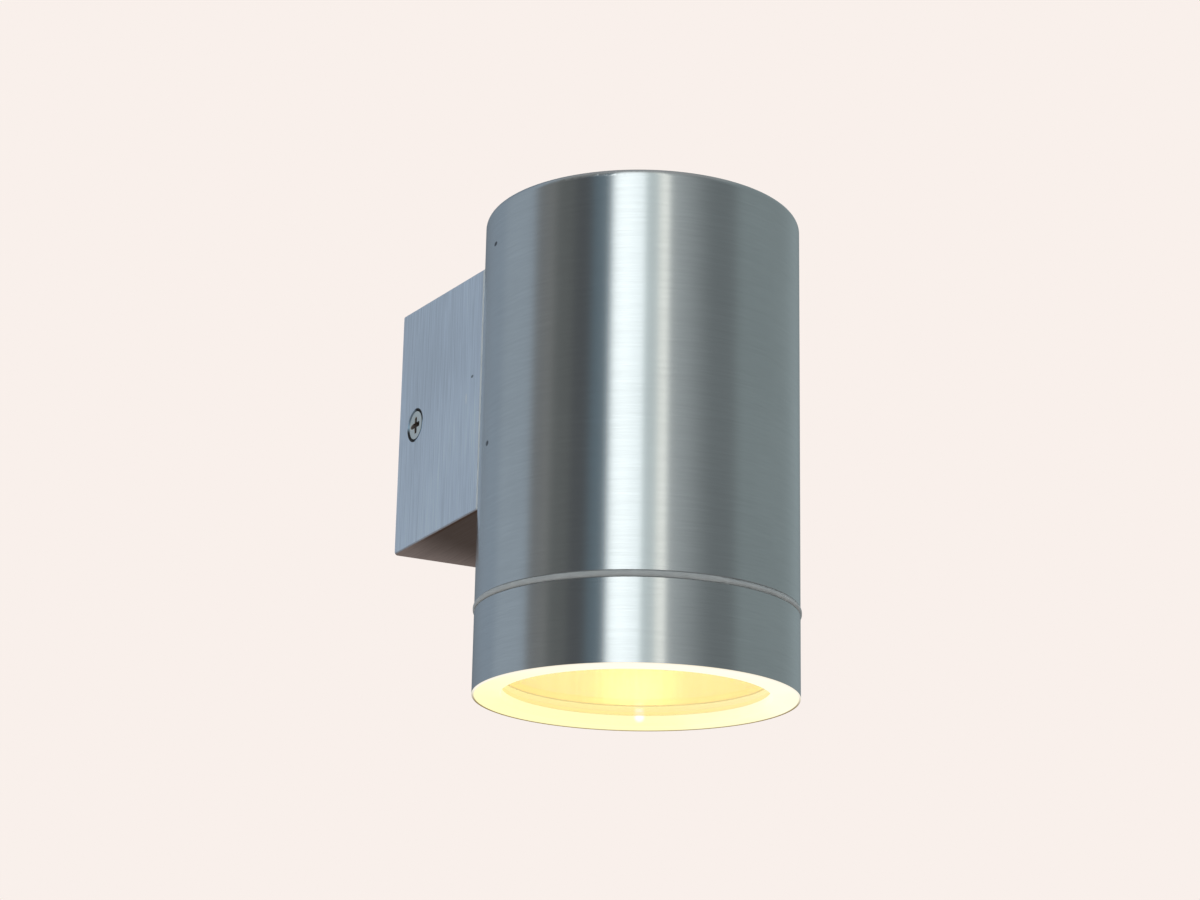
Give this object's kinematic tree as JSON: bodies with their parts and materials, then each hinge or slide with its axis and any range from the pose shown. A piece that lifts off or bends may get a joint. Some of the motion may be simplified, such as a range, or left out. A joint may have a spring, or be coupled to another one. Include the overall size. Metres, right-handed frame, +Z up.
{
  "type": "tube wall light",
  "caption": "Upright round brushed-metal tube downlight with a screw-off lower ring and glass, held out from the wall on a square bracket box with a side screw.",
  "frame": {"origin": "on the wall plane, behind the middle of the square bracket box", "axes": "+Z up along the tube, +Y into the wall, so the light stands out towards -Y; +X to the right seen from the room"},
  "size_m": [0.0604, 0.0842, 0.0921],
  "materials": {
    "brushed_tube": "brushed round the tube, satin",
    "brushed_ring": "brushed round the ring, satin",
    "brushed_box": "brushed upright, satin",
    "cap_metal": "turned, satin",
    "seam_silicone": "grey silicone, slightly see-through",
    "lens_silicone": "milky silicone lit from inside, emissive",
    "clear_glass": "clear toughened glass",
    "lamp_plastic": "white, fine matt",
    "lamp_front": "frosted, emissive warm white",
    "reflector_metal": "bright",
    "led": "board with a yellow phosphor dome",
    "nickel_pins": "nickel plated",
    "holder_ceramic": "unglazed",
    "contact_brass": "bright",
    "zinc_screws": "zinc plated",
    "stainless_screws": "stainless",
    "bracket_steel": "zinc plated sheet",
    "plate_steel": "zinc plated sheet",
    "black_rubber": "matt",
    "seal_foam": "closed-cell foam",
    "block_plastic": "natural polyamide",
    "brown_insulation": "brown lead insulation",
    "blue_insulation": "blue lead insulation",
    "green_insulation": "green and yellow lead insulation"
  },
  "bodies": {
    "root": {"tube_body": "brushed_tube", "top_cap": "cap_metal", "lampholder": "holder_ceramic", "holder_contacts": "contact_brass", "holder_screws": "zinc_screws", "holder_nuts": "zinc_screws", "lampholder_bracket": "bracket_steel", "clinch_nuts": "zinc_screws", "tube_screws": "zinc_screws", "tube_screw_washers": "zinc_screws", "wire_grommet": "black_rubber", "bracket_box": "brushed_box", "cover_screws": "stainless_screws", "wall_plate": "plate_steel", "wall_seal": "seal_foam", "cable_grommet": "black_rubber", "terminal_body": "block_plastic", "terminal_clamps": "contact_brass", "terminal_screws": "zinc_screws", "terminal_fixing_screws": "zinc_screws", "live_lead": "brown_insulation", "neutral_lead": "blue_insulation", "earth_wire": "green_insulation", "earth_lug": "contact_brass", "earth_screw": "contact_brass"},
    "seam_gasket": {"ring_gasket": "seam_silicone"},
    "bezel": {"bezel_ring": "brushed_ring", "lens_gasket": "lens_silicone", "glass_lens": "clear_glass"},
    "lamp": {"lamp_shell": "lamp_plastic", "lamp_cover": "lamp_front", "lamp_reflector": "reflector_metal", "led_module": "led", "lamp_base": "lamp_plastic", "lamp_pins": "nickel_pins"}
  },
  "joints": [
    {"name": "ring_travel", "type": "slide", "parent": "root", "child": "seam_gasket", "axis": [0, 0, -1], "range_m": [0, 0.00525]},
    {"name": "ring_turn", "type": "hinge", "parent": "seam_gasket", "child": "bezel", "pos_m": [0, -0.054, -0.053], "axis": [0, 0, -1], "range_deg": [0, 1260]},
    {"name": "lamp_twist", "type": "hinge", "parent": "root", "child": "lamp", "pos_m": [0, -0.054, -0.02], "axis": [0, 0, -1], "range_deg": [0, 30]}
  ],
  "couplings": [
    {"joint": "ring_travel", "follows": "ring_turn", "m_per_rad": 0.00023873}
  ]
}
